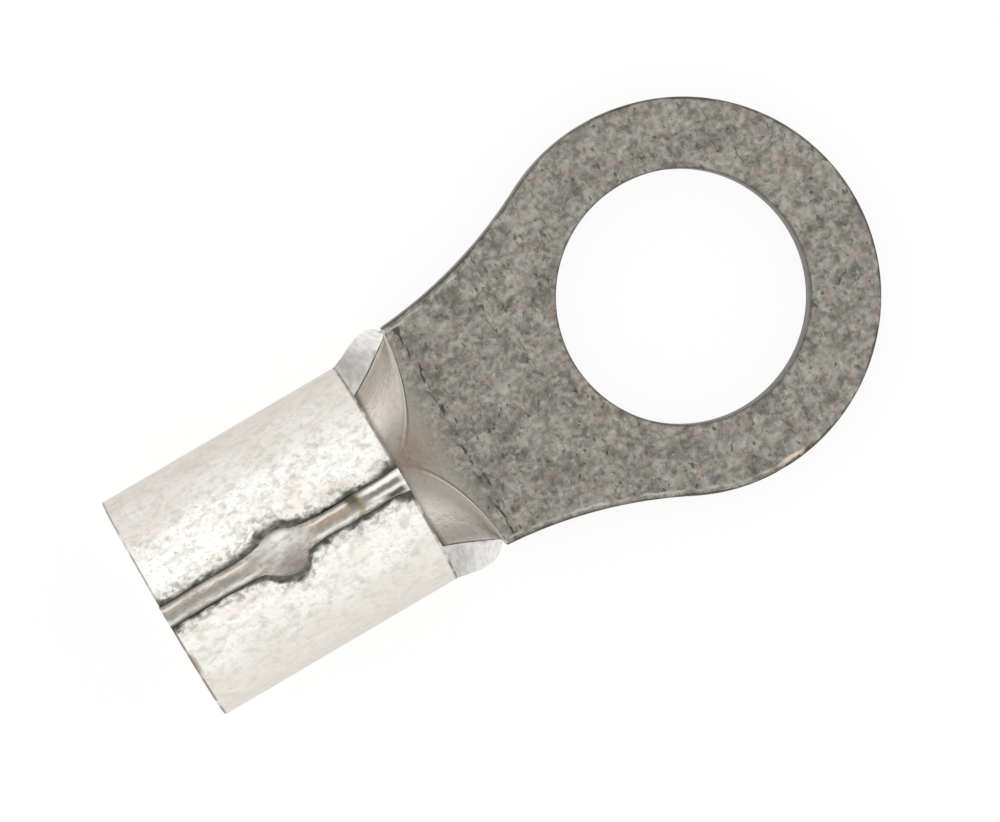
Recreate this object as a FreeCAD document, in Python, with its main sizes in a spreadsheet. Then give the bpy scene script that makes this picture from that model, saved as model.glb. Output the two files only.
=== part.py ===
"""Bare ring terminal of tin-plated copper sheet with a brazed barrel seam.

Frame: the origin is on the axis of the stud hole, on the underside of the tongue.
+X runs along the terminal away from the barrel, +Y to the side, +Z up to the seam.
The underside of the tongue and the lowest line of the barrel lie in the plane z = 0.
What is the same on both sides is drawn as its +Y half and mirrored.
"""
import FreeCAD, Part
import math
import os
import Sketcher

# Driving dimensions in millimetres, and one angle in degrees
SIZES = {
    # Tongue: the flat ring that goes under the screw head
    "sheet_thickness": 0.60,
    "stud_hole_diameter": 4.30,
    "ring_diameter": 6.70,
    "flare_radius": 8.0,
    "shoulder_width": 4.20,
    # Neck: the stretch in which the flat tongue bends up into the barrel
    "neck_width": 4.04,
    "neck_length": 1.05,
    "notch_rise": 0.70,
    "crease_bow_angle": 36.0,
    # Barrel: the rolled tube that takes the wire
    "barrel_diameter": 4.00,
    "barrel_length": 4.40,
    "barrel_front": 5.70,
    "seam_gap": 0.36,
    "ear_rounding": 0.08,
    # Serrations: shallow grooves across the inside of the barrel
    "serration_pitch": 1.10,
    "serration_mouth": 0.30,
    "serration_root": 0.20,
    "serration_depth": 0.10,
    # Filler: a bead with two crests, and a lump with a lobe over each ear
    "crest_offset": 0.075,
    "shoulder_drop": 0.09,
    "lump_from_rear": 2.22,
    "lump_rise": 0.11,
    "lump_depth": 0.12,
    "long_lobe_length": 1.20,
    "long_lobe_reach": 0.46,
    "round_lobe_length": 0.90,
    "round_lobe_reach": 0.62,
}

SERRATIONS = 3

# Places of the bent sections, as shares of the neck's length from the barrel
NECK_SHARES = (0.3, 0.55, 0.75, 0.9)

# Half angle of the barrel's ring that opens out into the flat floor of the neck
FLOOR_ANGLE = 6

# Share of the neck's half width that is drawn as floor where the neck ends
LAST_FLOOR_SHARE = 0.93

# Share of a lobe's reach at which its highest point lies
LOBE_CENTRE_SHARE = 0.35

# Lengths that follow from the driving dimensions
OUTER = "(sizes.barrel_diameter / 2)"
INNER = "(sizes.barrel_diameter / 2 - sizes.sheet_thickness)"
MIDDLE = "(sizes.barrel_diameter / 2 - sizes.sheet_thickness / 2)"
HALF_SHOULDER = "(sizes.shoulder_width / 2)"
HALF_NECK = "(sizes.neck_width / 2)"
HALF_GAP = "(sizes.seam_gap / 2)"
NECK_END = "(sizes.barrel_front - sizes.neck_length)"

# Points and axes of a sketch, as its constraints number them
START, END, CENTRE = range(1, 4)
ORIGIN = (-1, 1)
X_AXIS, Y_AXIS = -1, -2


def new_document():
    """A document with the driving dimensions in a sheet named sizes."""
    document = FreeCAD.newDocument("ring_terminal")
    sizes = document.addObject("Spreadsheet::Sheet", "sizes")
    for row, (alias, number) in enumerate(SIZES.items(), start=1):
        sizes.set(f"A{row}", str(number))
        sizes.setAlias(f"A{row}", alias)
    document.recompute()
    return document


doc = new_document()


def value(expression):
    """The number that an expression over the sheet gives."""
    number = doc.sizes.evalExpression(expression)
    return float(getattr(number, "Value", number))


def new_body(name):
    """An empty body whose label is the name of the piece."""
    body = doc.addObject("PartDesign::Body", name)
    body.Label = name
    return body


def origin_part(body, role):
    """A plane or an axis of the body's own origin."""
    return next(part for part in body.Origin.OriginFeatures if part.Role == role)


def new_sketch(body, name, plane, offset="0", rise="0"):
    """A sketch on an origin plane, moved along its normal and along its own Y."""
    sketch = body.newObject("Sketcher::SketchObject", name)
    sketch.AttachmentSupport = [(origin_part(body, plane), "")]
    sketch.MapMode = "FlatFace"
    sketch.setExpression("AttachmentOffset.Base.z", offset)
    sketch.setExpression("AttachmentOffset.Base.y", rise)
    return sketch


def polar(centre, radius, angle):
    """The point at an angle in degrees on a circle."""
    turn = math.radians(angle)
    return (centre[0] + radius * math.cos(turn), centre[1] + radius * math.sin(turn))


def circle(centre, radius):
    """A full circle in the plane of a sketch."""
    return Part.Circle(FreeCAD.Vector(*centre, 0), FreeCAD.Vector(0, 0, 1), radius)


def add_line(sketch, start, end):
    """A straight edge between two points."""
    edge = Part.LineSegment(FreeCAD.Vector(*start, 0), FreeCAD.Vector(*end, 0))
    return sketch.addGeometry(edge, False)


def add_arc(sketch, centre, radius, start, end):
    """A round edge, anticlockwise between two angles in degrees."""
    edge = Part.ArcOfCircle(circle(centre, radius), math.radians(start), math.radians(end))
    return sketch.addGeometry(edge, False)


def tie(sketch, kind, *places):
    """A constraint that holds no number."""
    sketch.addConstraint(Sketcher.Constraint(kind, *places))


def measure(sketch, kind, *places, size):
    """A dimension that follows an expression over the sheet."""
    number = value(size)
    if kind == "Angle":
        number = math.radians(number)
    index = sketch.addConstraint(Sketcher.Constraint(kind, *places, number))
    sketch.setExpression(f"Constraints[{index}]", size)


def close_chain(sketch, chain, smooth=()):
    """Joins edges end to end, each given as (edge, first point, last point).

    The joints whose numbers are in smooth are tangent, the others are corners.
    """
    for number, (edge, _, last) in enumerate(chain):
        following, first, _ = chain[(number + 1) % len(chain)]
        kind = "Tangent" if number in smooth else "Coincident"
        tie(sketch, kind, edge, last, following, first)


def add_polygon(sketch, corners):
    """A closed outline of straight edges."""
    ends = zip(corners, corners[1:] + corners[:1])
    edges = [add_line(sketch, start, end) for start, end in ends]
    close_chain(sketch, [(edge, START, END) for edge in edges])
    return edges


def add_pad(body, name, sketch, length, reverse=False):
    """A sketch drawn out along its normal."""
    pad = body.newObject("PartDesign::Pad", name)
    pad.Profile = sketch
    pad.Reversed = reverse
    pad.setExpression("Length", length)
    return pad


def add_mirror(body, name, features):
    """The same features on the -Y side."""
    mirrored = body.newObject("PartDesign::Mirrored", name)
    mirrored.Originals = features
    mirrored.MirrorPlane = (origin_part(body, "XZ_Plane"), [""])
    body.Tip = mirrored


def add_tongue(body):
    """Half of the flat tongue: the ring and the flare that runs back to the shoulder."""
    sketch = new_sketch(body, "tongue_outline", "XY_Plane")
    ring = value("sizes.ring_diameter / 2")
    flare = value("sizes.flare_radius")
    half = value(HALF_SHOULDER)
    end = value(NECK_END)
    # The flare's centre closes a triangle with the ring's centre and the shoulder's corner
    reach = ring + flare
    corner_reach = math.hypot(end, half)
    apex = math.acos((reach ** 2 + corner_reach ** 2 - flare ** 2) / (2 * reach * corner_reach))
    meeting = 180 - math.degrees(math.atan2(half, end) + apex)
    middle = polar((0, 0), reach, meeting)
    corner = math.degrees(math.atan2(half - middle[1], -end - middle[0])) % 360
    rim = add_arc(sketch, (0, 0), ring, 0, meeting)
    side = add_arc(sketch, middle, flare, corner, meeting + 180)
    back = add_line(sketch, (-end, half), (-end, 0))
    base = add_line(sketch, (-end, 0), (ring, 0))
    chain = [(rim, START, END), (side, END, START), (back, START, END), (base, START, END)]
    close_chain(sketch, chain, smooth=[0])
    tie(sketch, "Coincident", rim, CENTRE, *ORIGIN)
    tie(sketch, "PointOnObject", rim, START, X_AXIS)
    tie(sketch, "PointOnObject", base, START, X_AXIS)
    tie(sketch, "Vertical", back)
    measure(sketch, "Radius", rim, size="sizes.ring_diameter / 2")
    measure(sketch, "Radius", side, size="sizes.flare_radius")
    measure(sketch, "DistanceX", base, START, *ORIGIN, size=NECK_END)
    measure(sketch, "DistanceY", back, END, back, START, size=HALF_SHOULDER)
    return add_pad(body, "tongue", sketch, "sizes.sheet_thickness")


def floor_half_width(share):
    """Half width of the neck's flat floor at a share of its length from the barrel.

    Seen from above, the crease that bounds the floor is an arc of a circle, drawn in
    a square and stretched to the neck's length and half width.
    """
    offset = "(0.5 / tan(sizes.crease_bow_angle * 1 deg))"
    radius_squared = f"(2 * {offset} ^ 2 + 0.5)"
    drop = f"sqrt({radius_squared} - ({share} - 0.5 + {offset}) ^ 2)"
    return f"({HALF_NECK} * (0.5 + {offset} - {drop}))"


def turned_angle(share, floor):
    """Degrees that the side of the neck has turned up, the blank's width kept."""
    blank = f"({HALF_NECK} + sizes.notch_rise * (1 - {share}) ^ 1.5)"
    return f"(({blank} - {floor}) / {MIDDLE} * 180 / pi)"


def neck_sketch(body, number, share):
    """An empty sketch across the neck."""
    place = f"sizes.neck_length * {share} - sizes.barrel_front"
    return new_sketch(body, f"neck_section_{number}", "YZ_Plane", offset=place)


def add_ring_section(body, number):
    """The neck where it leaves the barrel: the lower part of the barrel's ring."""
    sketch = neck_sketch(body, number, 0)
    turn = turned_angle(0, "0")
    outer = value(OUTER)
    inner = value(INNER)
    middle = (0, outer)
    split = FLOOR_ANGLE - 90
    end = value(turn) - 90
    below = add_arc(sketch, middle, outer, -90, split)
    outside = add_arc(sketch, middle, outer, split, end)
    cut = add_line(sketch, polar(middle, outer, end), polar(middle, inner, end))
    inside = add_arc(sketch, middle, inner, split, end)
    above = add_arc(sketch, middle, inner, -90, split)
    axis = add_line(sketch, (0, outer - inner), (0, 0))
    close_chain(sketch, [(below, START, END), (outside, START, END), (cut, START, END),
                         (inside, END, START), (above, END, START), (axis, START, END)])
    for ring in (outside, inside, above):
        tie(sketch, "Coincident", ring, CENTRE, below, CENTRE)
    tie(sketch, "Coincident", below, START, *ORIGIN)
    tie(sketch, "PointOnObject", below, CENTRE, Y_AXIS)
    tie(sketch, "PointOnObject", axis, START, Y_AXIS)
    tie(sketch, "PointOnObject", below, CENTRE, cut)
    measure(sketch, "Radius", below, size=OUTER)
    measure(sketch, "Radius", above, size=INNER)
    measure(sketch, "Angle", below, size=f"{FLOOR_ANGLE}")
    measure(sketch, "Angle", above, size=f"{FLOOR_ANGLE}")
    measure(sketch, "Angle", outside, size=f"{turn} - {FLOOR_ANGLE}")
    return sketch


def add_bent_section(body, number, share):
    """The neck between its ends: a flat floor and a side turned up at its crease."""
    sketch = neck_sketch(body, number, share)
    floor = floor_half_width(share)
    turn = turned_angle(share, floor)
    outer = value(OUTER)
    inner = value(INNER)
    crease = value(floor)
    middle = (crease, outer)
    end = value(turn) - 90
    below = add_line(sketch, (0, 0), (crease, 0))
    outside = add_arc(sketch, middle, outer, -90, end)
    cut = add_line(sketch, polar(middle, outer, end), polar(middle, inner, end))
    inside = add_arc(sketch, middle, inner, -90, end)
    above = add_line(sketch, (crease, outer - inner), (0, outer - inner))
    axis = add_line(sketch, (0, outer - inner), (0, 0))
    close_chain(sketch, [(below, START, END), (outside, START, END), (cut, START, END),
                         (inside, END, START), (above, START, END), (axis, START, END)])
    tie(sketch, "Coincident", inside, CENTRE, outside, CENTRE)
    tie(sketch, "Coincident", below, START, *ORIGIN)
    tie(sketch, "PointOnObject", below, END, X_AXIS)
    tie(sketch, "PointOnObject", axis, START, Y_AXIS)
    tie(sketch, "Vertical", outside, CENTRE, outside, START)
    tie(sketch, "Vertical", inside, CENTRE, inside, START)
    tie(sketch, "Horizontal", above)
    tie(sketch, "PointOnObject", outside, CENTRE, cut)
    measure(sketch, "Radius", outside, size=OUTER)
    measure(sketch, "Radius", inside, size=INNER)
    measure(sketch, "DistanceX", *ORIGIN, below, END, size=floor)
    measure(sketch, "Angle", outside, size=turn)
    return sketch


def add_flat_section(body, number):
    """The neck where it meets the tongue: a flat strip, split near its edge."""
    sketch = neck_sketch(body, number, 1)
    half = value(HALF_NECK)
    thick = value("sizes.sheet_thickness")
    split = LAST_FLOOR_SHARE * half
    corners = [(0, 0), (split, 0), (half, 0), (half, thick), (split, thick), (0, thick)]
    below, outside, cut, inside, above, axis = add_polygon(sketch, corners)
    tie(sketch, "Coincident", below, START, *ORIGIN)
    tie(sketch, "PointOnObject", axis, START, Y_AXIS)
    for level in (below, outside, inside, above):
        tie(sketch, "Horizontal", level)
    tie(sketch, "Vertical", cut)
    tie(sketch, "Vertical", below, END, inside, END)
    measure(sketch, "DistanceY", cut, START, cut, END, size="sizes.sheet_thickness")
    measure(sketch, "DistanceX", *ORIGIN, cut, START, size=HALF_NECK)
    measure(sketch, "DistanceX", *ORIGIN, below, END, size=f"{HALF_NECK} * {LAST_FLOOR_SHARE}")
    return sketch


def add_neck(body):
    """Half of the neck, lofted from the barrel's ring to the flat tongue."""
    first = add_ring_section(body, 0)
    bent = [add_bent_section(body, number, share)
            for number, share in enumerate(NECK_SHARES, start=1)]
    last = add_flat_section(body, len(NECK_SHARES) + 1)
    neck = body.newObject("PartDesign::AdditiveLoft", "neck")
    neck.Profile = first
    neck.Sections = bent + [last]
    return neck


def add_barrel(body):
    """Half of the barrel: a ring that ends in an ear with a rounded outer edge."""
    sketch = new_sketch(body, "barrel_section", "YZ_Plane", offset="-sizes.barrel_front")
    outer = value(OUTER)
    inner = value(INNER)
    gap = value(HALF_GAP)
    rounding = value("sizes.ear_rounding")
    middle = (0, outer)
    rise = math.sqrt((outer - rounding) ** 2 - (gap + rounding) ** 2)
    turn = math.degrees(math.atan2(rise, gap + rounding))
    foot = math.degrees(math.acos(gap / inner))
    shell = add_arc(sketch, middle, outer, -90, turn)
    corner = add_arc(sketch, (gap + rounding, outer + rise), rounding, turn, 180)
    ear = add_line(sketch, (gap, outer + rise), polar(middle, inner, foot))
    bore = add_arc(sketch, middle, inner, -90, foot)
    axis = add_line(sketch, (0, outer - inner), (0, 0))
    close_chain(sketch, [(shell, START, END), (corner, START, END), (ear, START, END),
                         (bore, END, START), (axis, START, END)], smooth=[0, 1])
    tie(sketch, "Coincident", shell, START, *ORIGIN)
    tie(sketch, "PointOnObject", shell, CENTRE, Y_AXIS)
    tie(sketch, "Coincident", bore, CENTRE, shell, CENTRE)
    tie(sketch, "PointOnObject", axis, START, Y_AXIS)
    tie(sketch, "Vertical", ear)
    measure(sketch, "Radius", shell, size=OUTER)
    measure(sketch, "Radius", bore, size=INNER)
    measure(sketch, "Radius", corner, size="sizes.ear_rounding")
    measure(sketch, "DistanceX", *ORIGIN, ear, END, size=HALF_GAP)
    return add_pad(body, "barrel", sketch, "sizes.barrel_length", reverse=True)


def cut_stud_hole(body):
    """The round hole through the tongue."""
    sketch = new_sketch(body, "stud_hole_circle", "XY_Plane")
    edge = sketch.addGeometry(circle((0, 0), value("sizes.stud_hole_diameter / 2")), False)
    tie(sketch, "Coincident", edge, CENTRE, *ORIGIN)
    measure(sketch, "Radius", edge, size="sizes.stud_hole_diameter / 2")
    hole = body.newObject("PartDesign::Pocket", "stud_hole")
    hole.Profile = sketch
    hole.Reversed = True
    hole.setExpression("Length", "sizes.sheet_thickness")


def cut_serrations(body):
    """Grooves round the inside of the barrel that grip the strands of the wire."""
    sketch = new_sketch(body, "serration_section", "XZ_Plane", rise=OUTER)
    root_radius = f"{INNER} + sizes.serration_depth"
    inside_radius = f"{INNER} - sizes.serration_depth"
    # The flanks run on as far inside the bore as they cut into its wall
    inside_width = "(2 * sizes.serration_mouth - sizes.serration_root)"
    first_place = ("(sizes.barrel_front + sizes.barrel_length / 2"
                   f" + sizes.serration_pitch * {(SERRATIONS - 1) / 2})")
    place = -value(first_place)
    wide = value(inside_width) / 2
    narrow = value("sizes.serration_root / 2")
    corners = [(place - wide, value(inside_radius)), (place + wide, value(inside_radius)),
               (place + narrow, value(root_radius)), (place - narrow, value(root_radius))]
    inlet, fore, root, aft = add_polygon(sketch, corners)
    tie(sketch, "Horizontal", inlet)
    tie(sketch, "Horizontal", root)
    tie(sketch, "Equal", fore, aft)
    measure(sketch, "DistanceX", inlet, START, inlet, END, size=inside_width)
    measure(sketch, "DistanceX", root, END, root, START, size="sizes.serration_root")
    measure(sketch, "DistanceY", *ORIGIN, inlet, START, size=inside_radius)
    measure(sketch, "DistanceY", *ORIGIN, root, START, size=root_radius)
    measure(sketch, "DistanceX", inlet, START, *ORIGIN, size=f"{first_place} + {inside_width} / 2")
    groove = body.newObject("PartDesign::Groove", "serration")
    groove.Profile = sketch
    groove.ReferenceAxis = (sketch, ["H_Axis"])
    groove.Angle = 360
    pattern = body.newObject("PartDesign::LinearPattern", "serrations")
    pattern.Originals = [groove]
    pattern.Direction = (sketch, ["H_Axis"])
    pattern.Occurrences = SERRATIONS
    pattern.setExpression("Length", f"sizes.serration_pitch * {SERRATIONS - 1}")
    body.Tip = pattern


def build_terminal_body():
    """The stamped and rolled sheet: tongue, neck and barrel in one piece."""
    body = new_body("terminal_body")
    halves = [add_tongue(body), add_neck(body), add_barrel(body)]
    add_mirror(body, "both_sides", halves)
    cut_stud_hole(body)
    cut_serrations(body)
    return body


def add_lobe(body, name, side, length, reach):
    """A lobe of the lump: half an egg that lies over the ear on one side."""
    lobe = body.newObject("PartDesign::AdditiveEllipsoid", name)
    lobe.AttachmentSupport = [(origin_part(body, "XY_Plane"), "")]
    lobe.MapMode = "FlatFace"
    place = "sizes.lump_from_rear - sizes.barrel_front - sizes.barrel_length"
    lobe.setExpression("AttachmentOffset.Base.x", place)
    lobe.setExpression("AttachmentOffset.Base.y", f"{reach} * {side * LOBE_CENTRE_SHARE}")
    lobe.setExpression("AttachmentOffset.Base.z", "sizes.barrel_diameter - sizes.lump_depth")
    lobe.setExpression("Radius1", "sizes.lump_depth + sizes.lump_rise")
    lobe.setExpression("Radius2", f"{length} / 2")
    lobe.setExpression("Radius3", f"{reach} * {1 - LOBE_CENTRE_SHARE}")


def cut_barrel_shape(body):
    """Hollows the lump's underside to the outside of the barrel."""
    sketch = new_sketch(body, "barrel_circle", "YZ_Plane")
    edge = sketch.addGeometry(circle((0, value(OUTER)), value(OUTER)), False)
    tie(sketch, "PointOnObject", edge, CENTRE, Y_AXIS)
    measure(sketch, "DistanceY", *ORIGIN, edge, CENTRE, size=OUTER)
    measure(sketch, "Radius", edge, size=OUTER)
    seat = body.newObject("PartDesign::Pocket", "barrel_seat")
    seat.Profile = sketch
    seat.Type = "ThroughAll"
    seat.SideType = "Symmetric"


def add_bead(body):
    """Half of the bead that fills the gap between the ears along the barrel."""
    sketch = new_sketch(body, "bead_section", "YZ_Plane", offset="-sizes.barrel_front")
    outer = value(OUTER)
    inner = value(INNER)
    gap = value(HALF_GAP)
    crest = value("sizes.crest_offset")
    shoulder = value("sizes.barrel_diameter - sizes.shoulder_drop")
    foot = math.degrees(math.acos(gap / inner))
    valley = math.degrees(math.acos(-crest / (gap - crest)))
    side = add_line(sketch, polar((0, outer), inner, foot), (gap, shoulder))
    top = add_arc(sketch, (crest, shoulder), gap - crest, 0, valley)
    axis = add_line(sketch, polar((crest, shoulder), gap - crest, valley), (0, outer + inner))
    bottom = add_arc(sketch, (0, outer), inner, foot, 90)
    close_chain(sketch, [(side, START, END), (top, START, END), (axis, START, END),
                         (bottom, END, START)], smooth=[0])
    tie(sketch, "Vertical", side)
    tie(sketch, "PointOnObject", axis, START, Y_AXIS)
    tie(sketch, "PointOnObject", axis, END, Y_AXIS)
    tie(sketch, "PointOnObject", bottom, CENTRE, Y_AXIS)
    measure(sketch, "Radius", bottom, size=INNER)
    measure(sketch, "DistanceY", *ORIGIN, bottom, CENTRE, size=OUTER)
    measure(sketch, "DistanceX", *ORIGIN, side, START, size=HALF_GAP)
    measure(sketch, "DistanceX", *ORIGIN, top, CENTRE, size="sizes.crest_offset")
    measure(sketch, "DistanceY", *ORIGIN, top, CENTRE,
            size="sizes.barrel_diameter - sizes.shoulder_drop")
    return add_pad(body, "bead", sketch, "sizes.barrel_length", reverse=True)


def build_braze_seam():
    """The filler: a bead along the seam and the lump where it was fed in."""
    body = new_body("braze_seam")
    add_lobe(body, "long_lobe", 1, "sizes.long_lobe_length", "sizes.long_lobe_reach")
    add_lobe(body, "round_lobe", -1, "sizes.round_lobe_length", "sizes.round_lobe_reach")
    cut_barrel_shape(body)
    add_mirror(body, "both_beads", [add_bead(body)])
    return body


def check_document(bodies):
    """Stops if anything failed to compute or a piece isn't one sound solid."""
    for item in doc.Objects:
        if "Invalid" in item.State or "Error" in item.State:
            raise RuntimeError(f"{item.Name} failed: {item.State}")
    for body in bodies:
        shape = body.Shape
        if shape.isNull() or not shape.isValid() or len(shape.Solids) != 1:
            raise RuntimeError(f"{body.Label} isn't one sound solid")


def main():
    """Builds both pieces and writes each to its file."""
    bodies = [build_terminal_body(), build_braze_seam()]
    doc.recompute()
    check_document(bodies)
    os.makedirs("parts", exist_ok=True)
    for body in bodies:
        body.Shape.exportStep(f"parts/{body.Label}.step")
        print(f"{body.Label}: {body.Shape.Volume:.3f} mm3")


main()
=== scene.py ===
"""Looks of the bare ring terminal: tin-plated copper sheet with a brazed barrel seam.

The scene is in metres in the part's own frame. Shapes are worked on in millimetres
and brought back to metres when their meshes are made.
"""

import math

import bmesh
import bpy
from mathutils import Matrix, Vector


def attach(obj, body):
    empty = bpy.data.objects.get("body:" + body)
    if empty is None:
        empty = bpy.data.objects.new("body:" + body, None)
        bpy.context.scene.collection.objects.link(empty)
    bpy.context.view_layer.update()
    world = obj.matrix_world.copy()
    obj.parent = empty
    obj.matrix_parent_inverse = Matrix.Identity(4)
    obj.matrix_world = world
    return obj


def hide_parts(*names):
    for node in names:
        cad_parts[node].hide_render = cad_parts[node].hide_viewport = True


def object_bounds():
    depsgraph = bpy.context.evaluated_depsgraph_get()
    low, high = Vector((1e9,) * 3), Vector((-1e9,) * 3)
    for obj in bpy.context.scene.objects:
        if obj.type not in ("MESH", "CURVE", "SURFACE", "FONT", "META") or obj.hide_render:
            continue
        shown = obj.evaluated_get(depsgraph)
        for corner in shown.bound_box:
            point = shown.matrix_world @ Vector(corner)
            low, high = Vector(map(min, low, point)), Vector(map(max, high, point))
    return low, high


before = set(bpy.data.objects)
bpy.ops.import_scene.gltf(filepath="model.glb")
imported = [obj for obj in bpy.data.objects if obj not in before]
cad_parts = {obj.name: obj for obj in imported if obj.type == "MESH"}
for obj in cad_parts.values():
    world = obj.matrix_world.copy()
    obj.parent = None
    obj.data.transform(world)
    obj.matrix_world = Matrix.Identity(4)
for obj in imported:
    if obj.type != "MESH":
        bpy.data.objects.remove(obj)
cad_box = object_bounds()

MM = 0.001

# Sizes of the terminal in millimetres, as its solids have them
SHEET = 0.60
RING_RADIUS = 3.35
HOLE_RADIUS = 2.15
FLARE_RADIUS = 8.0
HALF_SHOULDER = 2.10
HALF_NECK = 2.02
NECK_LENGTH = 1.05
BARREL_RADIUS = 2.00
BARREL_LENGTH = 4.40
BORE_RADIUS = BARREL_RADIUS - SHEET
GROOVE_DEPTH = 0.10
HALF_GAP = 0.18

# Degrees by which the creases between the neck's floor and its sides bow
CREASE_BOW = 36

# Places along X, from the tongue back to the barrel's rear end
BARREL_FRONT = -5.70
BARREL_REAR = BARREL_FRONT - BARREL_LENGTH
TONGUE_END = BARREL_FRONT + NECK_LENGTH

# Edges of the bead: distance from the barrel's rear end, and how far each edge
# lies from the seam's middle line on the +Y side and on the -Y side
BEAD_EDGES = [
    (0.00, 0.200, 0.190),
    (0.20, 0.185, 0.185),
    (0.55, 0.190, 0.180),
    (0.95, 0.200, 0.180),
    (1.25, 0.190, 0.190),
    (1.50, 0.215, 0.215),
    (1.68, 0.270, 0.270),
    (1.82, 0.320, 0.370),
    (1.95, 0.375, 0.455),
    (2.08, 0.405, 0.510),
    (2.22, 0.400, 0.530),
    (2.36, 0.360, 0.490),
    (2.46, 0.310, 0.380),
    (2.54, 0.275, 0.290),
    (2.70, 0.220, 0.240),
    (2.90, 0.180, 0.215),
    (3.15, 0.175, 0.205),
    (3.30, 0.180, 0.240),
    (3.50, 0.190, 0.225),
    (3.72, 0.190, 0.250),
    (3.95, 0.190, 0.200),
    (4.15, 0.200, 0.200),
    (4.30, 0.235, 0.280),
    (4.40, 0.250, 0.300),
]

# Middles of the bead's lump and of the olive smear, as distances from the rear end
LUMP = 2.20
SMEAR = 3.52

# How far the edge of the bead sinks below the barrel's surface
BEAD_SUNK = 0.07

# A point on each sheared face: both sides of the neck, and the outside of the tongue
NECK_CUTS = [(-5.2, 1.95, 1.45), (-5.2, -1.95, 1.45)]
TONGUE_CUT = (RING_RADIUS, 0, SHEET / 2)

# Widths of the eased rims, and of the border inside the neck's sheared faces
RIM_EASE = 0.035
CUT_BORDER = 0.026

# Points nearer than MERGE are one point, and a face below SLIVER in area is a sliver
MERGE = 0.0005
SLIVER = 0.0002

# Order of the sheet's materials
TONGUE_TIN, CUT_TIN, BARREL_TIN, SHADED_EDGE_TIN = range(4)

# Direction across the tongue on whose side its rim gets a painted highlight
HIGHLIGHT_SIDE = (-0.50, -0.86, 0)

WHITE = (1, 1, 1, 1)

# The paper reaches this far from the stud hole, and lies this far below the terminal
FLOOR_REACH = 400
FLOOR_DROP = 0.002

# Soft square lamps: name, place and width in millimetres, and power in watts
LAMPS = [
    ("key", (-40, 60, 120), 220, 0.028),
    ("fill", (70, -50, 90), 160, 0.012),
]
TERMINAL_MIDDLE = (-3.4, 0, 1.5)

# The photograph's camera: its turns in degrees, its distance from the stud hole in
# millimetres, and where and how large it shows that place in pixels
CAMERA_TURNS = [("Z", 30.165), ("X", 4.094), ("Y", 3.319)]
CAMERA_DISTANCE = 78.0
PHOTO_WIDTH, PHOTO_HEIGHT = 1000, 822
HOLE_ACROSS, HOLE_DOWN = 679.425, 296.370
PIXELS_PER_MM = 59.2285
SENSOR_WIDTH = 36


def smooth(low, high, number):
    """0 below low, 1 above high, with a soft step between."""
    share = min(max((number - low) / (high - low), 0.0), 1.0)
    return share * share * (3 - 2 * share)


def hump(distance, width):
    """1 at no distance, and almost 0 from twice the width away."""
    return math.exp(-(distance / width) ** 2)


def flare_centres():
    """Middles of the two arcs that join the ring to the shoulders of the tongue."""
    reach = RING_RADIUS + FLARE_RADIUS
    corner = math.hypot(TONGUE_END, HALF_SHOULDER)
    apex = math.acos((reach ** 2 + corner ** 2 - FLARE_RADIUS ** 2) / (2 * reach * corner))
    turn = math.atan2(HALF_SHOULDER, TONGUE_END) - apex
    return [Vector((reach * math.cos(turn), side * reach * math.sin(turn), 0)) for side in (1, -1)]


# Materials

def colour(text):
    """Linear colour of an sRGB hex value."""
    channels = [int(text[i:i + 2], 16) / 255 for i in (1, 3, 5)]
    linear = [c / 12.92 if c <= 0.04045 else ((c + 0.055) / 1.055) ** 2.4 for c in channels]
    return (*linear, 1.0)


def add(tree, kind, sources=(), **settings):
    """Adds a node with its settings and links, and returns its output.

    Sources are numbers, colours or other nodes' outputs: a list for the sockets in
    use, in their order, where None leaves a socket as it is, or a dictionary by name.
    """
    made = tree.nodes.new("ShaderNode" + kind)
    for name, setting in settings.items():
        setattr(made, name, setting)
    if isinstance(sources, dict):
        pairs = [(made.inputs[name], source) for name, source in sources.items()]
    else:
        pairs = zip([socket for socket in made.inputs if socket.enabled], sources)
    for socket, source in pairs:
        if isinstance(source, bpy.types.NodeSocket):
            tree.links.new(source, socket)
        elif source is not None:
            socket.default_value = source
    outputs = [socket for socket in made.outputs if socket.enabled]
    return outputs[0] if outputs else None


def new_material(name):
    """An empty material, its nodes, and the place on the object in millimetres."""
    material = bpy.data.materials.new(name)
    material.use_nodes = True
    tree = material.node_tree
    tree.nodes.clear()
    coordinates = add(tree, "TexCoord").node
    place = add(tree, "VectorMath", [coordinates.outputs["Object"], 1 / MM], operation="SCALE")
    return material, tree, place


def finish(tree, base, roughness, height, depth):
    """Ends a metal's nodes with its colour, its roughness and a relief of some depth."""
    relief = add(tree, "Bump", {"Strength": 0.5, "Distance": depth * MM, "Height": height})
    metal = {"Base Color": base, "Metallic": 1.0, "Roughness": roughness, "Normal": relief}
    add(tree, "OutputMaterial", [add(tree, "BsdfPrincipled", metal)])


def lumps(tree, place, size, stretch=(1, 1, 1), shift=(0, 0, 0), swirl=0.0, detail=2.0):
    """Random lumps about size millimetres across, longer where stretched, from 0 to 1."""
    scale = tuple(1 / (size * longer) for longer in stretch)
    moved = add(tree, "Mapping", {"Vector": place, "Location": shift, "Scale": scale})
    return add(tree, "TexNoise", {"Vector": moved, "Scale": 1.0, "Detail": detail,
                                  "Roughness": 0.55, "Distortion": swirl})


def lay(tree, under, over, mask, low, high, most=1.0):
    """Lays one colour over another where a mask passes from low to high."""
    under, over = (colour(tone) if isinstance(tone, str) else tone for tone in (under, over))
    share = add(tree, "MapRange", [mask, low, high, 0.0, most], interpolation_type="SMOOTHSTEP")
    return add(tree, "Mix", [share, under, over], data_type="RGBA")


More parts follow.
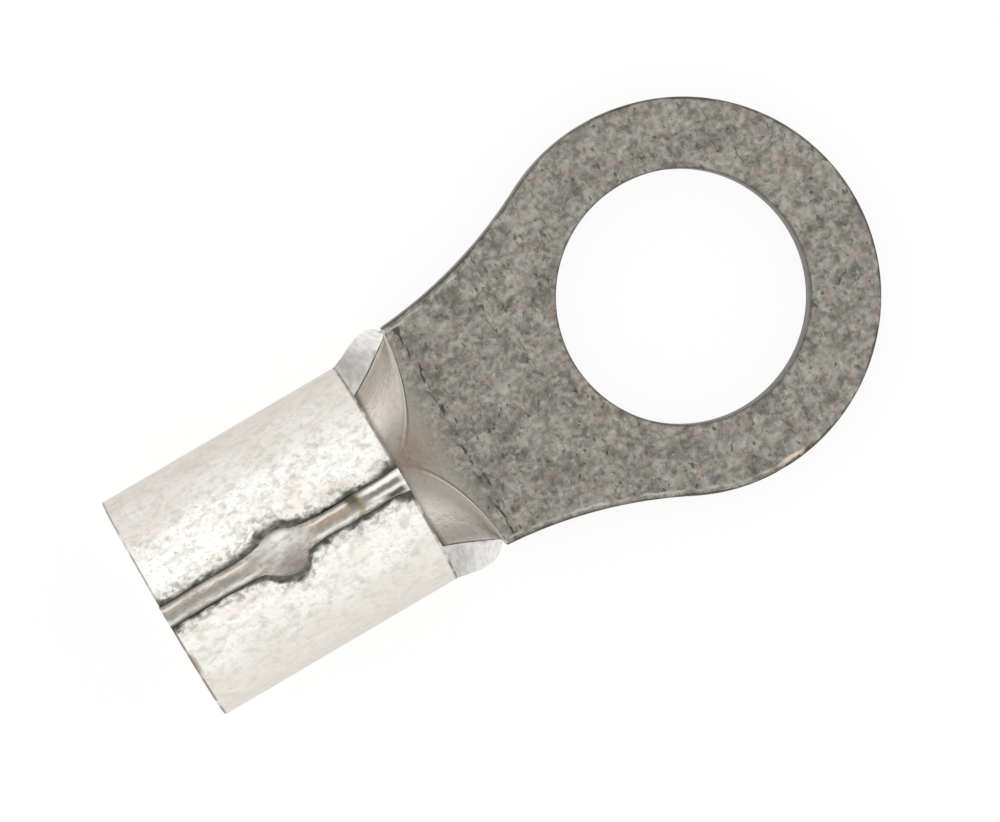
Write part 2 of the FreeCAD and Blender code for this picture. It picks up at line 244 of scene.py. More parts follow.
def near(tree, source, middle, width, most=1.0):
    """Highest where a number is near middle, and 0 from width away on both sides."""
    apart = add(tree, "Math", [source, middle], operation="SUBTRACT")
    apart = add(tree, "Math", [apart], operation="ABSOLUTE")
    return add(tree, "MapRange", [apart, width, 0.2 * width, 0.0, most],
               interpolation_type="SMOOTHSTEP")


def band(tree, under, over, source, middle, width, most=1.0, full=1.0):
    """Lays a band of one colour over another where a number is near middle. A full
    below 1 makes the band's solid part wider."""
    return lay(tree, under, over, near(tree, source, middle, width), 0.0, full, most)


def crease_curve(tree, x):
    """Half width of the neck's flat floor at x: the arc that is drawn for the solid, from
    no width at the barrel to the whole neck's at the tongue."""
    offset = 0.5 / math.tan(math.radians(CREASE_BOW))
    share = add(tree, "MapRange", [x, BARREL_FRONT, TONGUE_END, offset - 0.5, offset + 0.5])
    square = add(tree, "Math", [share, share], operation="MULTIPLY")
    drop = add(tree, "Math", [2 * offset ** 2 + 0.5, square], operation="SUBTRACT")
    drop = add(tree, "Math", [drop], operation="SQRT")
    width = add(tree, "Math", [0.5 + offset, drop], operation="SUBTRACT")
    return add(tree, "Math", [width, HALF_NECK], operation="MULTIPLY")


def rim_distances(tree, place):
    """Distances inwards from the outline of the tongue, and outwards from its hole."""
    x, y, _ = add(tree, "SeparateXYZ", [place]).node.outputs
    side = add(tree, "Math", [y], operation="ABSOLUTE")
    flat = add(tree, "CombineXYZ", [x, side, 0.0])
    reach = add(tree, "VectorMath", [flat], operation="LENGTH").node.outputs["Value"]
    centre = flare_centres()[0]
    flare = add(tree, "VectorMath", [flat, centre], operation="DISTANCE").node.outputs["Value"]
    to_ring = add(tree, "Math", [RING_RADIUS, reach], operation="SUBTRACT")
    to_flare = add(tree, "Math", [flare, FLARE_RADIUS], operation="SUBTRACT")
    joint = centre.x * RING_RADIUS / (RING_RADIUS + FLARE_RADIUS)
    on_ring = add(tree, "Math", [x, joint], operation="GREATER_THAN")
    to_outline = add(tree, "Mix", [on_ring, to_flare, to_ring])
    to_hole = add(tree, "Math", [reach, HOLE_RADIUS], operation="SUBTRACT")
    return to_outline, to_hole


def bead_distance(tree, place, side):
    """Distance outwards from the bead's edge on the +Y side (1) or the -Y side (-1)."""
    x, y, _ = add(tree, "SeparateXYZ", [place]).node.outputs
    share = add(tree, "MapRange", [x, BARREL_REAR, BARREL_FRONT, 0.0, 1.0])
    edge = add(tree, "FloatCurve", [1.0, share])
    column = 1 if side > 0 else 2
    mapping = edge.node.mapping
    points = [(row[0] / BARREL_LENGTH, row[column]) for row in BEAD_EDGES]
    mapping.curves[0].points[0].location = points[0]
    mapping.curves[0].points[1].location = points[-1]
    for along, width in points[1:-1]:
        mapping.curves[0].points.new(along, width)
    mapping.update()
    across = add(tree, "Math", [y, side], operation="MULTIPLY")
    return add(tree, "Math", [across, edge], operation="SUBTRACT")


def barrel_surface():
    """Matte electro-tinned copper, as plated: bright tin with curled grey grains, painted warmer
    and duller towards the barrel's sides as a reflection of the floor, painted lighter on the -Y
    half, and painted shade in the grooves beside the seam."""
    material, tree, place = new_material("electro_tinned_copper")
    x, y, z = add(tree, "SeparateXYZ", [place]).node.outputs
    side = add(tree, "Math", [y], operation="ABSOLUTE")
    cloud = lumps(tree, place, 0.45, (1.8, 1, 1))
    curls = lumps(tree, place, 0.085, (1.2, 1, 1), shift=(2, 5, 1), swirl=0.35, detail=3.0)
    blots = lumps(tree, place, 0.17, (1.3, 1, 1), shift=(6, 1, 4), swirl=0.25)
    specks = lumps(tree, place, 0.055, shift=(7, 3, 5), detail=1.0)
    blush = lumps(tree, place, 0.28, (1.5, 1, 1), shift=(3, 8, 2), detail=1.0)
    base = lay(tree, "#eceae3", "#fcfbf8", cloud, 0.30, 0.66)
    base = lay(tree, base, "#f1e2d8", blush, 0.56, 0.72, 0.55)
    base = lay(tree, base, "#dfe1d2", blush, 0.44, 0.30, 0.55)
    base = lay(tree, base, "#c5c3ba", blots, 0.52, 0.30, 0.65)
    base = lay(tree, base, "#b7b5ac", curls, 0.50, 0.33, 0.45)
    base = lay(tree, base, "#8f8c84", specks, 0.68, 0.80, 0.60)
    # Painted reflection of the floor: warmer and duller towards the barrel's sides
    base = lay(tree, base, "#e0dad2", side, 1.05, 1.45, 0.50)
    base = lay(tree, base, "#cfc5bb", side, 1.60, 1.95, 0.40)
    # Painted light: the -Y half of the barrel is lighter
    base = lay(tree, base, "#fdf8ee", y, -0.10, -0.80, 0.28)

    # Blue and pink spots beside the bead; top keeps them and the painted groove shade out of the
    # bore
    top = add(tree, "MapRange", [z, BARREL_RADIUS, 1.8 * BARREL_RADIUS, 0.0, 1.0])
    spots = near(tree, x, -6.75, 0.42, top)
    spots = add(tree, "Math", [spots, near(tree, y, 0.48, 0.26, 0.75)], operation="MULTIPLY")
    base = lay(tree, base, "#c3cacd", blots, 0.48, 0.66, spots)
    base = lay(tree, base, "#e3bca8", curls, 0.50, 0.66, spots)

    base = shaded_ends_and_nick(tree, place, base)
    base = shade_beside_bead(tree, place, base, curls, top)
    height = add(tree, "Math", [curls, blots])
    finish(tree, base, 0.42, height, 0.030)
    return material


def shaded_ends_and_nick(tree, place, base):
    """The barrel's tin with a painted shade line round both ends, broken by noise, and a nick on
    the rear one.
    """
    x, y, _ = add(tree, "SeparateXYZ", [place]).node.outputs
    rim_noise = lumps(tree, place, 0.25, shift=(9, 9, 9), detail=1.0)
    rim_noise = add(tree, "MapRange", [rim_noise, 0.25, 0.55, 0.0, 0.85])
    # Painted shade along the rims of both ends
    base = lay(tree, base, "#6c655c", x, BARREL_REAR + 0.055, BARREL_REAR + 0.020, rim_noise)
    base = lay(tree, base, "#6c655c", x, BARREL_FRONT - 0.060, BARREL_FRONT - 0.020, rim_noise)
    nick = near(tree, y, -0.90, 0.30, 0.7)
    return lay(tree, base, "#93806f", x, BARREL_REAR + 0.12, BARREL_REAR + 0.05, nick)


def shade_beside_bead(tree, place, base, curls, top):
    """The barrel's tin with painted shade in the grooves along both edges of the bead: a ragged
    dark line in a wider grey shade, broader at the barrel's ends, and olive at the smear."""
    x, y, _ = add(tree, "SeparateXYZ", [place]).node.outputs
    blotch = lumps(tree, place, 0.12, (1.5, 1, 1), shift=(1, 1, 4), detail=3.0)
    ragged = add(tree, "MapRange", [blotch, 0.25, 0.75, -0.035, 0.035])
    grey = add(tree, "MapRange", [curls, 0.38, 0.56, 0.70, 0.10])
    grey = add(tree, "Math", [grey, top], operation="MULTIPLY")
    dark = add(tree, "MapRange", [blotch, 0.30, 0.60, 0.95, 0.60])
    dark = add(tree, "Math", [dark, top], operation="MULTIPLY")
    rear = near(tree, x, BARREL_REAR + 0.03, 0.15, dark)
    front = near(tree, x, BARREL_FRONT - 0.05, 0.38, dark)
    # Painted shade in the grooves: a grey shade and a ragged dark line, broader at both ends
    for side, wide in ((1, 0.135), (-1, 0.105)):
        beside = add(tree, "Math", [bead_distance(tree, place, side), ragged])
        base = band(tree, base, "#98968d", beside, 0.05, 2.3 * wide, grey)
        base = band(tree, base, "#6b6a63", beside, -0.04, wide + 0.04, dark, full=0.75)
        base = band(tree, base, "#3f3e39", beside, -0.03, 0.65 * wide + 0.03, dark, full=0.9)
        base = band(tree, base, "#45443f", beside, 0.03, 0.12, rear, full=0.8)
        base = band(tree, base, "#4a4944", beside, 0.02, 0.16, front, full=0.9)
    olive = near(tree, x, BARREL_REAR + SMEAR, 0.17, top)
    olive = add(tree, "Math", [olive, near(tree, y, 0.22, 0.13, 0.85)], operation="MULTIPLY")
    return lay(tree, base, "#4f4d3a", olive, 0.0, 1.0)


def tongue_surface():
    """Electro-tinned copper coined thin after plating: dark crumpled tin with pits and faint pink,
    olive and blue tints, and smoother and paler tin on the drawn neck, with painted light and
    shade there."""
    material, tree, place = new_material("coined_tinned_copper")
    grain = lumps(tree, place, 0.10, shift=(1, 8, 2), swirl=0.35, detail=3.0)
    coarse = lumps(tree, place, 0.17, shift=(9, 2, 5), swirl=0.4)
    blue = lumps(tree, place, 0.30, shift=(8, 12, 3))
    base = coined_tin(tree, place, grain, coarse, blue)
    base = rim_shade_highlights_rust(tree, place, base, blue)
    base = drawn_neck(tree, place, base, grain, coarse)
    height = add(tree, "Math", [grain, coarse])
    finish(tree, base, 0.50, height, 0.025)
    return material


def coined_tin(tree, place, grain, coarse, blue):
    """Crumpled grey tin with patches, tints and pits, painted glints, and a row of dark dashes
    where the coined face begins."""
    x = add(tree, "SeparateXYZ", [place]).node.outputs["X"]
    patch = lumps(tree, place, 0.60, shift=(4, 3, 7))
    pink = lumps(tree, place, 0.27, shift=(5, 2, 9))
    pits = lumps(tree, place, 0.065, (1, 1.8, 1), shift=(11, 4, 1), swirl=0.5, detail=1.0)
    dashes = lumps(tree, place, 0.075, (1, 3.5, 1), shift=(2, 7, 3), swirl=0.2, detail=1.0)
    base = lay(tree, "#76736c", "#9f9c94", grain, 0.30, 0.70)
    base = lay(tree, base, "#575550", coarse, 0.50, 0.28, 0.70)
    base = lay(tree, base, "#b9b6ae", coarse, 0.51, 0.74, 0.55)
    base = lay(tree, base, "#605e57", patch, 0.49, 0.30, 0.50)
    base = lay(tree, base, "#aeaba1", patch, 0.52, 0.72, 0.40)
    base = lay(tree, base, "#9c807a", pink, 0.54, 0.72, 0.36)
    base = lay(tree, base, "#7d7d60", pink, 0.45, 0.28, 0.36)
    base = lay(tree, base, "#7b8289", blue, 0.56, 0.74, 0.36)
    base = lay(tree, base, "#3a3834", pits, 0.62, 0.76, 0.70)
    # Painted glints: light specks among the pits
    base = lay(tree, base, "#c6c3bb", pits, 0.34, 0.22, 0.40)
    row = near(tree, x, TONGUE_END + 0.20, 0.13, 0.85)
    return lay(tree, base, "#3f3e3b", dashes, 0.52, 0.66, row)


def rim_shade_highlights_rust(tree, place, base, blue):
    """The tongue's tin with painted shade as a dark line at the very rims, a broken painted
    highlight where the top rounds over, rust flecks, and a painted highlight streak with a brown
    spot at its end."""
    x, y, z = add(tree, "SeparateXYZ", [place]).node.outputs
    rim_noise = lumps(tree, place, 0.25, shift=(9, 9, 9), detail=1.0)
    shaken = add(tree, "MapRange", [rim_noise, 0.3, 0.7, -0.02, 0.02])
    to_outline, to_hole = rim_distances(tree, place)
    rim = add(tree, "Math", [to_outline, shaken])
    hole_rim = add(tree, "Math", [to_hole, shaken])
    # Painted shade: a dark line at the very rims of the outline and of the hole
    base = lay(tree, base, "#4b4945", rim, 0.050, 0.015, 0.80)
    base = lay(tree, base, "#5b5954", hole_rim, 0.045, 0.015, 0.60)

    # The painted highlight line shows on one side of the tongue and at the shoulders
    highlight_side = add(tree, "VectorMath", [place, HIGHLIGHT_SIDE], operation="DOT_PRODUCT")
    highlight_side = add(tree, "MapRange", [highlight_side.node.outputs["Value"], 1.9, 2.5, 0.0, 1.0])
    shoulder = add(tree, "MapRange", [x, -2.60, -3.20, 0.0, 1.0])
    bright = add(tree, "Math", [highlight_side, shoulder], operation="MAXIMUM")
    broken = add(tree, "MapRange", [blue, 0.42, 0.60, 0.0, 0.65])
    bright = add(tree, "Math", [broken, bright], operation="MULTIPLY")
    base = band(tree, base, "#c3c0b7", rim, 0.095, 0.035, bright)

    # A few rust flecks all over, and more on top of the hole's rim on the neck's side
    flecks = lumps(tree, place, 0.09, shift=(3, 15, 8), swirl=0.3, detail=1.0)
    base = lay(tree, base, "#a98c7e", flecks, 0.66, 0.82, 0.50)
    on_top = add(tree, "Math", [z, 0.9 * SHEET], operation="GREATER_THAN")
    rust = add(tree, "MapRange", [x, -1.4, -2.0, 0.0, 0.40])
    rust = add(tree, "Math", [rust, on_top], operation="MULTIPLY")
    rust = add(tree, "Math", [near(tree, hole_rim, 0.12, 0.12), rust], operation="MULTIPLY")
    base = lay(tree, base, "#a4877b", flecks, 0.48, 0.66, rust)

    # A painted highlight streak on the outer rim, and a brown spot at its end
    lower = add(tree, "Math", [y, -2.5], operation="LESS_THAN")
    highlight_streak = add(tree, "Math", [near(tree, x, 0.22, 0.30, 0.80), lower], operation="MULTIPLY")
    base = band(tree, base, "#e0d0c1", rim, 0.085, 0.055, highlight_streak)
    brown = add(tree, "Math", [near(tree, x, 0.53, 0.09, 0.80), lower], operation="MULTIPLY")
    return band(tree, base, "#5e4237", rim, 0.050, 0.050, brown)


def drawn_neck(tree, place, base, grain, coarse):
    """The tongue's tin, running out on the neck's floor into smoother tin: painted shade makes it
    brownish in the middle, painted light makes it paler where the sides turn up, with a painted
    highlight and painted shade at the crease between them, and a painted shadow at the barrel's
    front."""
    x, y, _ = add(tree, "SeparateXYZ", [place]).node.outputs
    side = add(tree, "Math", [y], operation="ABSOLUTE")
    crease = add(tree, "Math", [side, crease_curve(tree, x)], operation="SUBTRACT")
    stain = lumps(tree, place, 0.40, (1, 1.4, 1), shift=(2, 6, 4))
    # Painted shade darkens and browns the middle of the neck's trough
    neck = lay(tree, "#a5968a", "#a9a49a", side, 0.20, 0.80)
    neck = lay(tree, neck, "#8f8880", stain, 0.54, 0.30, 0.45)
    neck = lay(tree, neck, "#a19e94", x, BARREL_FRONT + 0.45, TONGUE_END, 0.85)
    # Painted light: the turned-up sides are paler, the +Y side most
    turned_up_painted_light = lay(tree, "#a8a198", "#c9c1b8", y, 0.30, 0.95)
    neck = lay(tree, neck, turned_up_painted_light, crease, -0.02, 0.20)
    # Painted light: the sides are paler still further from the crease
    steep_painted_light = lay(tree, "#efeae4", "#fbf4ec", y, -0.50, 0.50)
    neck = lay(tree, neck, steep_painted_light, crease, 0.30, 1.00)
    neck = lay(tree, neck, "#8a857c", grain, 0.50, 0.34, 0.15)
    # Painted shadow along the barrel's front edge
    neck = lay(tree, neck, "#675f57", x, BARREL_FRONT + 0.19, BARREL_FRONT + 0.05, 0.85)

    # The coined tin runs on over the neck's floor to a ragged end, but not up its sides
    ragged = add(tree, "MapRange", [coarse, 0.3, 0.7, -0.10, 0.10])
    ragged = add(tree, "Math", [x, ragged])
    on_floor = add(tree, "MapRange", [crease, 0.02, -0.06, 0.0, 1.0])
    on_tongue = add(tree, "Math", [x, TONGUE_END], operation="GREATER_THAN")
    coined = add(tree, "Math", [on_floor, on_tongue], operation="MAXIMUM")
    base = lay(tree, neck, base, ragged, TONGUE_END - 0.45, TONGUE_END + 0.22, coined)

    # The crease: a painted highlight on the turned-up side and painted shade on the floor's,
    # fading at the barrel
    fading = add(tree, "MapRange", [x, BARREL_FRONT + 0.25, TONGUE_END - 0.15, 0.0, 0.8])
    on_neck = add(tree, "Math", [x, TONGUE_END + 0.02], operation="LESS_THAN")
    fading = add(tree, "Math", [fading, on_neck], operation="MULTIPLY")
    base = band(tree, base, "#57534d", crease, -0.060, 0.050, fading)
    return band(tree, base, "#dedad4", crease, 0.020, 0.035, fading)


def shaded_cut_edge_surface():
    """Tinned copper where the neck's sheared faces meet its inner side, painted dull and darker
    there as shade along that edge."""
    material, tree, place = new_material("tinned_edge_painted_shade")
    grain = lumps(tree, place, 0.12)
    # Painted shade along the edge
    base = lay(tree, "#746e67", "#989189", grain, 0.35, 0.65)
    finish(tree, base, 0.5, grain, 0.01)
    return material


def cut_surface():
    """Tinned copper that was sheared before plating: pale and smooth on the neck, and painted grey
    round the tongue as shade on its outer wall."""
    material, tree, place = new_material("tinned_sheared_edge")
    x = add(tree, "SeparateXYZ", [place]).node.outputs["X"]
    grain = lumps(tree, place, 0.13)
    pale = lay(tree, "#e9e7e3", "#fbfaf8", grain, 0.35, 0.65)
    # Painted shade: grey for the tongue's outer wall
    grey = lay(tree, "#5d5a54", "#7d7972", grain, 0.35, 0.65)
    base = lay(tree, pale, grey, x, TONGUE_END - 0.05, TONGUE_END + 0.05)
    finish(tree, base, 0.45, grain, 0.012)
    return material


def bead_surface():
    """Copper-phosphorus brazing filler, tinned over with the rest: it froze in ripples, with
    painted highlights on two crests and painted shade in the valley between them, is greyer than
    the sheet, and has painted shade at its edges."""
    material, tree, place = new_material("tinned_brazing_filler")
    x, y, _ = add(tree, "SeparateXYZ", [place]).node.outputs
    along = add(tree, "Math", [x, -BARREL_REAR])
    grain = lumps(tree, place, 0.10, (2.2, 1, 1), swirl=0.5)
    fine = lumps(tree, place, 0.05, (1.5, 1, 1), shift=(2, 2, 2))
    dull = lumps(tree, place, 0.17, (1.5, 1, 1), shift=(6, 3, 1))
    base = lay(tree, "#a39d94", "#c6c2ba", grain, 0.32, 0.68)
    base = lay(tree, base, "#86827a", fine, 0.48, 0.30, 0.50)
    base = lay(tree, base, "#8d8680", dull, 0.50, 0.34, 0.50)

    # Painted highlights on two crests and painted shade in the valley between them, fading out at
    # the lump
    changing = lumps(tree, place, 0.30, (1, 9, 9), shift=(4, 1, 1))
    wave = add(tree, "MapRange", [changing, 0.3, 0.7, -0.02, 0.02])
    wave = add(tree, "Math", [y, wave])
    off_lump = near(tree, along, LUMP - 0.02, 0.70)
    off_lump = add(tree, "MapRange", [off_lump, 0.0, 0.6, 0.65, 0.0])
    crest_highlight = add(tree, "MapRange", [changing, 0.38, 0.60, 0.25, 1.0])
    crest_highlight = add(tree, "Math", [off_lump, crest_highlight], operation="MULTIPLY")
    base = band(tree, base, "#f2e6da", wave, 0.110, 0.042, crest_highlight)
    base = band(tree, base, "#f2f1ec", wave, -0.118, 0.050, crest_highlight)
    base = band(tree, base, "#8b877e", wave, -0.005, 0.075, off_lump)

    base = lump_of_bead(tree, place, base, along)
    base = front_of_bead(tree, base, y, along, wave, grain)

    # Painted shade at both edges, wider at the lump
    at_lump = near(tree, along, LUMP, 0.45, 0.80)
    for side in (1, -1):
        edge = bead_distance(tree, place, side)
        base = lay(tree, base, "#6f6963", edge, -0.16, -0.06, at_lump)
        base = lay(tree, base, "#504e48", edge, -0.060, -0.005, 0.85)
    height = add(tree, "Math", [grain, fine])
    finish(tree, base, 0.34, height, 0.02)
    return material


def lump_of_bead(tree, place, base, along):
    """The filler's metal with its lump, which has a painted highlight spot on its long side and a
    purplish grey round lobe, and with a brown valley in front of it."""
    y = add(tree, "SeparateXYZ", [place]).node.outputs["Y"]
    streaks = lumps(tree, place, 0.06, (3, 1, 1), shift=(5, 9, 1))
    brown = near(tree, along, LUMP + 0.90, 0.55, 0.55)
    lobe = near(tree, along, LUMP + 0.04, 0.40, 0.75)
    pale = near(tree, along, LUMP, 0.52, 0.75)
    spot = near(tree, along, LUMP + 0.02, 0.20, 0.50)
    base = band(tree, base, "#a08674", y, 0.02, 0.09, brown)
    base = band(tree, base, "#8f8380", y, -0.28, 0.24, lobe)
    base = band(tree, base, "#dddbd6", y, 0.14, 0.24, pale)
    base = lay(tree, base, "#a9a7a1", streaks, 0.52, 0.66, pale)
    # Painted highlight spot on the lump
    return band(tree, base, "#f4f3f0", y, 0.24, 0.12, spot)


def front_of_bead(tree, base, y, along, wave, grain):
    """The filler's metal with a dark olive smear across it, in a bow, and beyond that its
    bright front end with streaks and a dark fold."""
    bow = add(tree, "Math", [y, y], operation="MULTIPLY")
    bow = add(tree, "Math", [bow, 2.0], operation="MULTIPLY")
    smear = add(tree, "Math", [along, bow])
    ragged = add(tree, "MapRange", [grain, 0.3, 0.7, -0.02, 0.02])
    smear = add(tree, "Math", [smear, ragged])
    base = band(tree, base, "#8f885c", smear, SMEAR + 0.08, 0.095, 0.65)
    upper = add(tree, "MapRange", [y, -0.06, 0.09, 0.0, 0.90])
    base = band(tree, base, "#4f4d3a", smear, SMEAR, 0.15, upper)

    front = add(tree, "MapRange", [along, 3.66, 3.86, 0.0, 1.0])
    streak = add(tree, "Math", [front, 0.75], operation="MULTIPLY")
    fold = add(tree, "MapRange", [along, 3.90, 4.10, 0.0, 0.90])
    base = band(tree, base, "#f3f2ef", wave, 0.125, 0.060, front)
    base = band(tree, base, "#6f6c66", wave, 0.035, 0.040, streak)
    base = band(tree, base, "#eeece7", wave, -0.045, 0.045, streak)
    base = band(tree, base, "#3e3d38", wave, -0.120, 0.060, fold)
    return lay(tree, base, "#eceae4", along, 4.30, 4.38, 0.60)


def shown_white(tree):
    """1 for what the camera, a reflection or a clear part shows of the surroundings."""
    seen = add(tree, "LightPath").node.outputs
    shown = add(tree, "Math", [seen["Is Camera Ray"], seen["Is Glossy Ray"]], operation="MAXIMUM")
    return add(tree, "Math", [shown, seen["Is Transmission Ray"]], operation="MAXIMUM")


def paper():
    """White paper, uncoated and matte: it shows as white, with a faint shade of what lies
    on it, because four fifths of what is seen of it is a plain glow."""
    material, tree, _ = new_material("white_paper")
    sheet = add(tree, "BsdfPrincipled", {"Base Color": colour("#f4f3f0"), "Roughness": 0.9})
    glow = add(tree, "Emission", {"Color": WHITE, "Strength": 1.11})
    share = add(tree, "MapRange", [shown_white(tree), 0.0, 1.0, 0.0, 0.8])
    add(tree, "OutputMaterial", [add(tree, "MixShader", [share, sheet, glow])])
    return material


# Pieces

def new_object(name, bm, materials):
    """An object at the origin from a mesh in millimetres."""
    bmesh.ops.scale(bm, vec=(MM,) * 3, verts=bm.verts)
    mesh = bpy.data.meshes.new(name)
    bm.to_mesh(mesh)
    bm.free()
    for material in materials:
        mesh.materials.append(material)
    made = bpy.data.objects.new(name, mesh)
    bpy.context.scene.collection.objects.link(made)
    return made


def new_piece(name, bm, materials, smooth_angle):
    """A piece of the terminal, shaded smooth except at edges sharper than an angle."""
    piece = new_object(name, bm, materials)
    piece.data.shade_smooth()
    piece.data.set_sharp_from_angle(angle=math.radians(smooth_angle))
    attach(piece, "root")
    return piece


def cad_copy(name):
    """A copy of a CAD node's mesh in millimetres: its points merged, its slivers joined to
    a neighbour, and its flat faces whole."""
    bm = bmesh.new()
    bm.from_mesh(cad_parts[name].data)
    bmesh.ops.scale(bm, vec=(1 / MM,) * 3, verts=bm.verts)
    bmesh.ops.remove_doubles(bm, verts=bm.verts, dist=MERGE)
    slivers = [face for face in bm.faces if face.calc_area() < SLIVER]
    longest = {max(face.edges, key=lambda edge: edge.calc_length()) for face in slivers}
    bmesh.ops.dissolve_edges(bm, edges=[edge for edge in bm.edges if edge in longest])
    bmesh.ops.dissolve_limit(bm, angle_limit=math.radians(0.5), verts=bm.verts, edges=bm.edges)
    return bm


def round_out(bm, reach, radii):
    """Divides the edges that run round a centre at given distances, and moves the new
    points out to those distances but not past the box of the solids, so that round
    outlines have more and shorter sides. reach gives a point's distance from the
    centre as a vector."""
    # How near to a distance an old point and a new one lie, and the shortest edge divided
    old_slack, new_slack, shortest = 0.0015, 0.02, 0.05

    def radius_at(vertex, slack):
        length = reach(vertex.co).length
        return next((radius for radius in radii if abs(length - radius) < slack), None)

    edges = []
    for edge in bm.edges:
        first, last = edge.verts
        radius = radius_at(first, old_slack)
        turned = (reach(first.co) - reach(last.co)).length > shortest
        if turned and radius and radius == radius_at(last, old_slack):
            edges.append(edge)
    made = bmesh.ops.subdivide_edges(bm, edges=edges, cuts=3, use_grid_fill=True)
    for vertex in {item for item in made["geom_inner"] if isinstance(item, bmesh.types.BMVert)}:
        radius = radius_at(vertex, new_slack)
        if radius:
            out = reach(vertex.co)
            vertex.co += out * (radius / out.length - 1)
            vertex.co = [min(max(c, low / MM), high / MM)
                         for c, low, high in zip(vertex.co, *cad_box)]


def surface_at(bm, place):
    """The faces of a surface, from the one nearest to a place up to its sharp edges."""
    seed = min(bm.faces, key=lambda face: (face.calc_center_median() - Vector(place)).length)
    found, waiting = {seed}, [seed]
    while waiting:
        for edge in waiting.pop().edges:
            if len(edge.link_faces) != 2 or edge.calc_face_angle() > math.radians(30):
                continue
            for face in edge.link_faces:
                if face not in found:
                    found.add(face)
                    waiting.append(face)
    return found


def give_materials(bm):
    """Gives each face of the sheet its material, and marks out its sheared faces."""
    for face in bm.faces:
        behind = face.calc_center_median().x < BARREL_FRONT + MERGE
        sheared = abs(face.normal.x) > 0.9
        face.material_index = (CUT_TIN if sheared else BARREL_TIN) if behind else TONGUE_TIN
    for place in (*NECK_CUTS, TONGUE_CUT):
        cut = surface_at(bm, place)
        for face in cut:
            face.material_index = CUT_TIN
        if place in NECK_CUTS:
            add_border(bm, cut)


def add_border(bm, cut):
    """A border inside a sheared face of the neck, painted with shade where the neck's inner side
    is.
    """
    faces = [face for face in bm.faces if face in cut]
    made = bmesh.ops.inset_region(bm, faces=faces, thickness=CUT_BORDER, use_boundary=True)
    border = set(made["faces"])
    for face in border:
        beside = {other for edge in face.edges for other in edge.link_faces} - cut - border
        inner = any(other.normal.z > 0.05 for other in beside)
        face.material_index = SHADED_EDGE_TIN if inner else CUT_TIN


def is_rim(edge):
    """Whether an edge is a sharp rim of the tongue, of its hole or of the barrel's end."""
    if len(edge.link_faces) != 2 or edge.calc_face_angle() < math.radians(38):
        return False
    middle = (edge.verts[0].co.x + edge.verts[1].co.x) / 2
    return middle > TONGUE_END + 0.05 or middle < BARREL_REAR + 0.01


def make_sheet():
    """The stamped and rolled sheet, with rounder outlines and eased rims."""
    bm = cad_copy("terminal_body")
    bmesh.ops.bisect_plane(bm, geom=[*bm.verts, *bm.edges, *bm.faces], dist=MERGE,
                           plane_co=(BARREL_FRONT, 0, 0), plane_no=(1, 0, 0))
    round_out(bm, lambda co: Vector((co.x, co.y, 0)), [RING_RADIUS, HOLE_RADIUS])
    for centre in flare_centres():
        round_out(bm, lambda co: Vector((co.x, co.y, 0)) - centre, [FLARE_RADIUS])
    round_out(bm, lambda co: Vector((0, co.y, co.z - BARREL_RADIUS)),
              [BARREL_RADIUS, BORE_RADIUS, BORE_RADIUS + GROOVE_DEPTH])
    give_materials(bm)
    rims = [edge for edge in bm.edges if is_rim(edge)]
    bmesh.ops.bevel(bm, geom=rims, affect="EDGES", offset=RIM_EASE, offset_type="OFFSET",
                    segments=3, profile=0.5, material=-1, clamp_overlap=False, loop_slide=False)
    materials = [tongue_surface(), cut_surface(), barrel_surface(), shaded_cut_edge_surface()]
    piece = new_piece("stamped_sheet", bm, materials, smooth_angle=35)
    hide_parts("terminal_body")


def bead_edge(side, along):
    """Distance of the bead's edge from the middle line, read between its points."""
    column = 1 if side > 0 else 2
    for before, after in zip(BEAD_EDGES, BEAD_EDGES[1:]):
        if along <= after[0]:
            share = smooth(before[0], after[0], along)
            return before[column] + (after[column] - before[column]) * share
    return BEAD_EDGES[-1][column]


def tube_height(across, radius):
    """Height of the barrel's outside or bore at a distance from the seam's middle."""
    return BARREL_RADIUS + math.sqrt(radius ** 2 - across ** 2)


def bead_height(along, share, across):
    """Height of the filler's top; share runs from -1 to 1 across the bead. Between its
    edges it has two crests, and a lump with a round lobe and a long one. A low ridge
    crosses it at the smear, and ripples run along it."""
    wide = smooth(0.18, 0.40, bead_edge(share, along))
    from_lump = along - LUMP
    lump = hump(from_lump, 0.30)
    body = -0.055 * (1 - wide) + 0.03 * lump
    body += 0.032 * hump(abs(share) - 0.56, 0.22) * (1 - 0.85 * lump)
    body += 0.045 * hump(from_lump - 0.02, 0.20) * hump(across + 0.22, 0.20)
    body += 0.035 * hump(from_lump + 0.02, 0.28) * hump(across - 0.12, 0.16)
    body += 0.020 * hump(along - SMEAR - 0.03, 0.035)
    body += 0.004 * math.sin(along * 23 + math.sin(along * 7)) * (1 - lump)
    inside = 1 - abs(share) ** 3
    sunk = 0.05 * (1 - inside) * (1 - 0.4 * wide)
    return tube_height(across, BARREL_RADIUS) + body * inside - sunk


